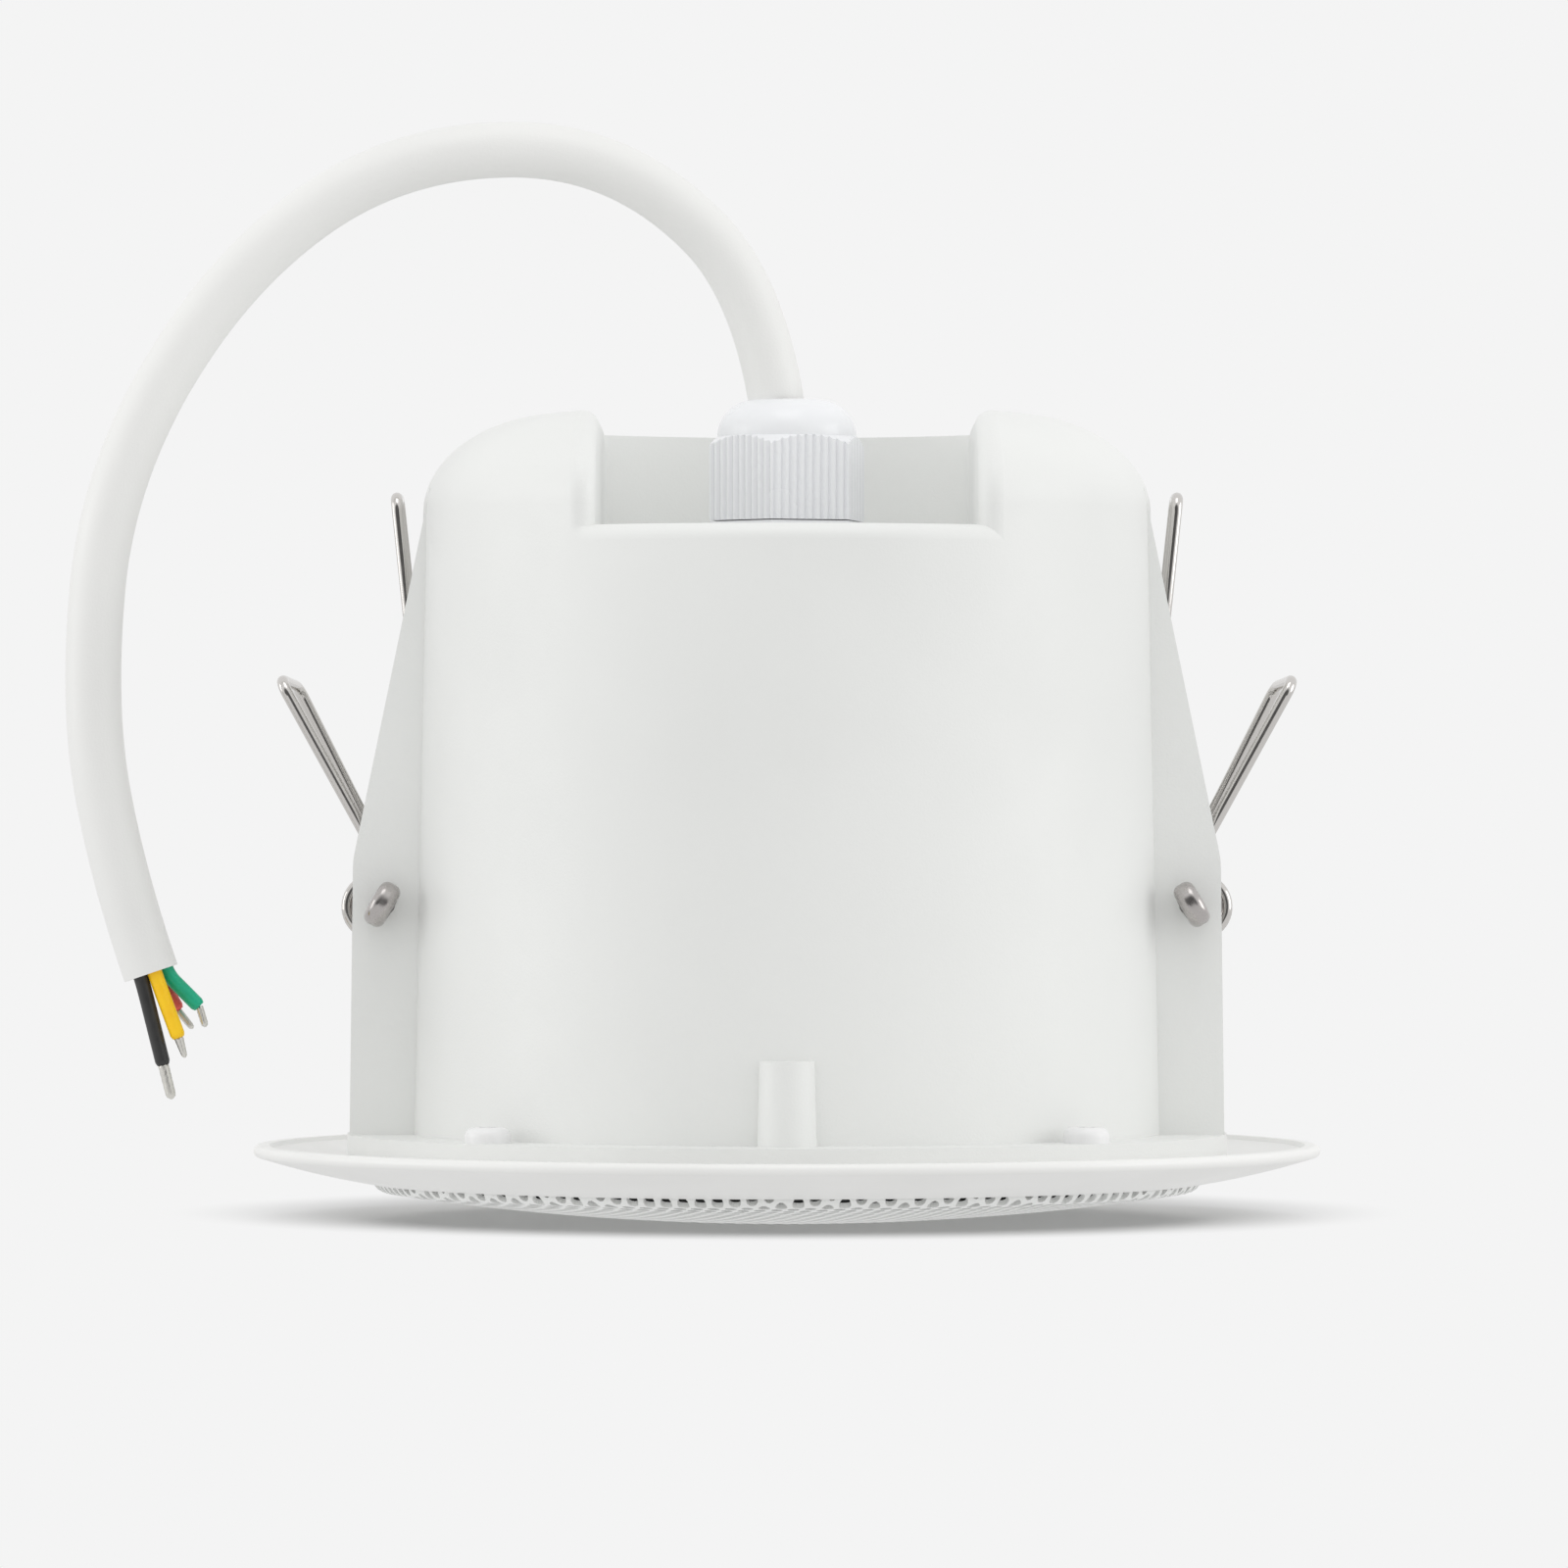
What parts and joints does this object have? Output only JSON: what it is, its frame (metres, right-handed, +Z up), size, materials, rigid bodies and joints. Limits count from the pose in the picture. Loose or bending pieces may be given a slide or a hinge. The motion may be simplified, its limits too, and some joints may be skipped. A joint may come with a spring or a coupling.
{
  "type": "in-ceiling loudspeaker",
  "caption": "Round in-ceiling loudspeaker with a domed perforated grille, moulded back can, sprung wire clips and a cable leaving through a fluted gland in a top pocket.",
  "frame": {"origin": "middle of the ceiling face of the bezel's rim, on the axis of the can", "axes": "+Z up along the can's axis into the ceiling void, -Y towards the open front of the gland pocket, +X towards the right-hand clip"},
  "size_m": [0.211, 0.18, 0.1856],
  "materials": {
    "can_plastic": "moulded off-white, satin",
    "bezel_plastic": "moulded white, satin",
    "grille_paint": "perforated sheet, white powder coat",
    "spring_wire": "bright drawn wire",
    "pin_steel": "bright zinc",
    "white_screw": "white paint",
    "zinc_screw": "zinc plate",
    "gland_nylon": "moulded nylon",
    "seal_rubber": "matt black",
    "foam": "closed cell foam",
    "cable_jacket": "soft white jacket",
    "core_black": "black insulation",
    "core_yellow": "yellow insulation",
    "core_red": "red insulation",
    "core_green": "green insulation",
    "tin": "tinned copper strands",
    "basket_steel": "black pressed steel",
    "magnet_ferrite": "sintered ferrite",
    "zinc_plate": "zinc plated steel",
    "cone_paper": "pressed dark paper",
    "surround_rubber": "soft rubber",
    "spider_cloth": "impregnated cloth",
    "coil_copper": "enamelled winding",
    "strip_board": "phenolic board",
    "lamination_steel": "stacked laminations",
    "bobbin_nylon": "taped bobbin",
    "lead_pvc": "thin insulated leads"
  },
  "bodies": {
    "housing": {"back_can": "can_plastic", "bezel": "bezel_plastic", "ring_gasket": "foam", "grille": "grille_paint", "bezel_screws": "white_screw", "driver_screws": "zinc_screw", "hinge_pin_right": "pin_steel", "hinge_pin_left": "pin_steel", "clip_spring_right": "spring_wire", "clip_spring_left": "spring_wire", "gland_body": "gland_nylon", "gland_seal": "seal_rubber", "gland_nut": "gland_nylon", "gland_locknut": "gland_nylon", "cable": "cable_jacket", "core_black": "core_black", "core_yellow": "core_yellow", "core_red": "core_red", "core_green": "core_green", "tinned_ends": "tin", "driver_gasket": "foam", "driver_basket": "basket_steel", "magnet_top_plate": "zinc_plate", "magnet_ring": "magnet_ferrite", "magnet_yoke": "zinc_plate", "spider": "spider_cloth", "cone_surround": "surround_rubber", "terminal_strip": "strip_board", "driver_leads": "lead_pvc", "transformer_core": "lamination_steel", "transformer_bobbin": "bobbin_nylon", "transformer_leads": "lead_pvc"},
    "cone_assembly": {"cone": "cone_paper", "dust_cap": "cone_paper", "voice_coil": "coil_copper"},
    "right_arm": {"clip_arm_right": "spring_wire"},
    "left_arm": {"clip_arm_left": "spring_wire"}
  },
  "joints": [
    {"name": "right_arm_swing", "type": "hinge", "parent": "housing", "child": "right_arm", "pos_m": [0.0677, 0, 0.0406], "axis": [0, 1, 0], "range_deg": [-22, 95], "stiffness_Nm_per_rad": 0.08},
    {"name": "left_arm_swing", "type": "hinge", "parent": "housing", "child": "left_arm", "pos_m": [-0.0677, 0, 0.0406], "axis": [0, -1, 0], "range_deg": [-22, 95], "stiffness_Nm_per_rad": 0.08},
    {"name": "cone_travel", "type": "slide", "parent": "housing", "child": "cone_assembly", "axis": [0, 0, 1], "range_m": [-0.002, 0.002], "stiffness_N_per_m": 1500, "deforming": ["cone_surround", "spider"]}
  ]
}
